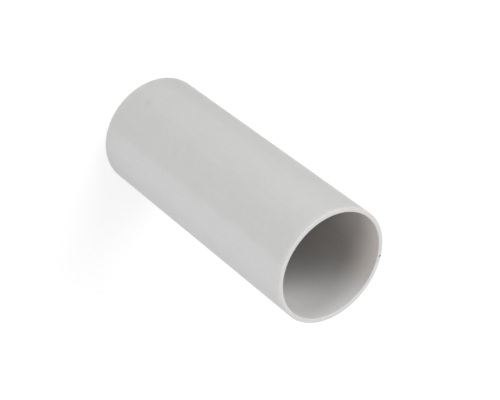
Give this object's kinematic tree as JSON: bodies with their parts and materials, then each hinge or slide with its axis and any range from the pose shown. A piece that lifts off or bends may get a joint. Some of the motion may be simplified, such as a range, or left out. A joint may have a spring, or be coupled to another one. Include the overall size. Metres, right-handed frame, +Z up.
{
  "type": "conduit coupling",
  "caption": "Straight one-piece plastic tube that joins the ends of two rigid conduits, with a socket at each end and a stop ring inside.",
  "frame": {"origin": "centre of the lower rim, on which the coupling stands", "axes": "+Z up along the tube, from the lower socket to the upper one; the tube is round, and -Y is the side that the picture looks at"},
  "size_m": [0.0348, 0.0348, 0.088],
  "materials": {
    "light_grey_plastic": "satin moulded"
  },
  "bodies": {
    "root": {"coupling": "light_grey_plastic"}
  },
  "joints": []
}
